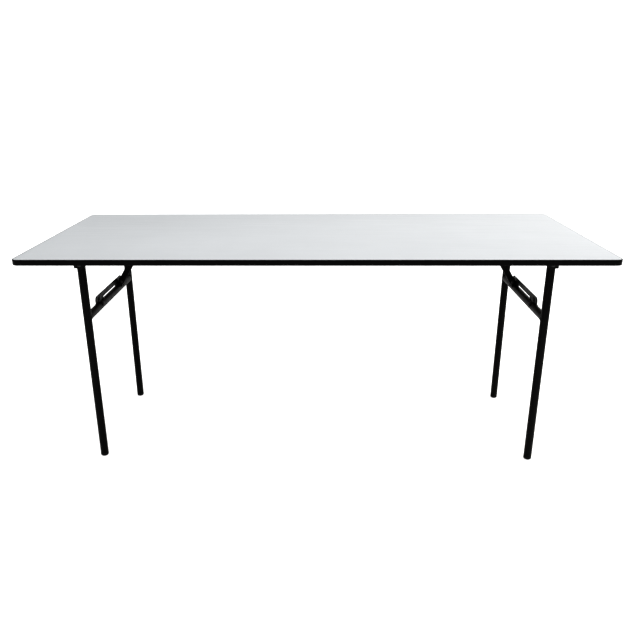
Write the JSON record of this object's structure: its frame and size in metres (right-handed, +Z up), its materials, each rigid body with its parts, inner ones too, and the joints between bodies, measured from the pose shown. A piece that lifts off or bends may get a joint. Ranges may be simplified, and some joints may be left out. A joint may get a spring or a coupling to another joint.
{
  "type": "folding table",
  "caption": "Rectangular folding table with a banded board top and inward-folding H-shaped tube leg frames held by jointed stays.",
  "frame": {"origin": "on the floor under the middle of the top", "axes": "+X along the length of the top, +Y towards the rear long edge, +Z up"},
  "size_m": [1.83, 0.76, 0.75],
  "materials": {
    "board": "raw fibreboard",
    "laminate_top": "fine matte laminate, pale cool grey",
    "laminate_under": "plain brown backing sheet",
    "edge_moulding": "satin black moulding",
    "frame_steel": "semi-gloss black powder coat",
    "fasteners": "black zinc plate",
    "nylon": "moulded black nylon",
    "foot_rubber": "matte black rubber"
  },
  "bodies": {
    "top": {"board_core": "board", "top_laminate": "laminate_top", "backing_laminate": "laminate_under", "edge_moulding": "edge_moulding", "leg_bracket_left_front": "frame_steel", "leg_bracket_left_rear": "frame_steel", "leg_bracket_right_front": "frame_steel", "leg_bracket_right_rear": "frame_steel", "leg_bracket_screws": "fasteners", "leg_stop_pads": "nylon", "leg_pivot_bolts": "fasteners", "leg_pivot_nuts": "fasteners", "stay_hanger_left": "frame_steel", "stay_hanger_right": "frame_steel", "stay_hanger_screws": "fasteners", "stay_hanger_rivets": "fasteners"},
    "left_leg_frame": {"leg_tube_left_front": "frame_steel", "foot_cap_left_front": "foot_rubber", "leg_tube_left_rear": "frame_steel", "foot_cap_left_rear": "foot_rubber", "pivot_bushes_left": "nylon", "crossbar_left": "frame_steel", "handle_strip_left": "frame_steel", "handle_clamps_left": "frame_steel", "handle_bolts_left": "fasteners", "stay_lug_left": "frame_steel", "lug_pin_left": "fasteners"},
    "left_stay_link": {"stay_link_left": "frame_steel", "knee_pin_left": "fasteners", "knee_spacers_left": "nylon"},
    "left_slotted_arm": {"slotted_arm_left": "frame_steel"},
    "right_leg_frame": {"leg_tube_right_front": "frame_steel", "foot_cap_right_front": "foot_rubber", "leg_tube_right_rear": "frame_steel", "foot_cap_right_rear": "foot_rubber", "pivot_bushes_right": "nylon", "crossbar_right": "frame_steel", "handle_strip_right": "frame_steel", "handle_clamps_right": "frame_steel", "handle_bolts_right": "fasteners", "stay_lug_right": "frame_steel", "lug_pin_right": "fasteners"},
    "right_stay_link": {"stay_link_right": "frame_steel", "knee_pin_right": "fasteners", "knee_spacers_right": "nylon"},
    "right_slotted_arm": {"slotted_arm_right": "frame_steel"}
  },
  "joints": [
    {"name": "left_legs_fold", "type": "hinge", "parent": "top", "child": "left_leg_frame", "pos_m": [-0.75, 0, 0.704], "axis": [0, -1, 0], "range_deg": [0, 90]},
    {"name": "left_stay_link_turn", "type": "hinge", "parent": "left_leg_frame", "child": "left_stay_link", "pos_m": [-0.737, 0.108, 0.544], "axis": [0, -1, 0], "range_deg": [0, 38.8]},
    {"name": "left_slotted_arm_turn", "type": "hinge", "parent": "top", "child": "left_slotted_arm", "pos_m": [-0.63, 0.108, 0.717], "axis": [0, -1, 0], "range_deg": [-45.1, 0]},
    {"name": "right_legs_fold", "type": "hinge", "parent": "top", "child": "right_leg_frame", "pos_m": [0.75, 0, 0.704], "axis": [0, 1, 0], "range_deg": [0, 90]},
    {"name": "right_stay_link_turn", "type": "hinge", "parent": "right_leg_frame", "child": "right_stay_link", "pos_m": [0.737, 0.108, 0.544], "axis": [0, 1, 0], "range_deg": [0, 38.8]},
    {"name": "right_slotted_arm_turn", "type": "hinge", "parent": "top", "child": "right_slotted_arm", "pos_m": [0.63, 0.108, 0.717], "axis": [0, 1, 0], "range_deg": [-45.1, 0]}
  ],
  "couplings": [
    {"joint": "left_stay_link_turn", "follows": "left_legs_fold", "ratio": 0.43},
    {"joint": "left_slotted_arm_turn", "follows": "left_legs_fold", "ratio": -0.5},
    {"joint": "right_stay_link_turn", "follows": "right_legs_fold", "ratio": 0.43},
    {"joint": "right_slotted_arm_turn", "follows": "right_legs_fold", "ratio": -0.5}
  ]
}
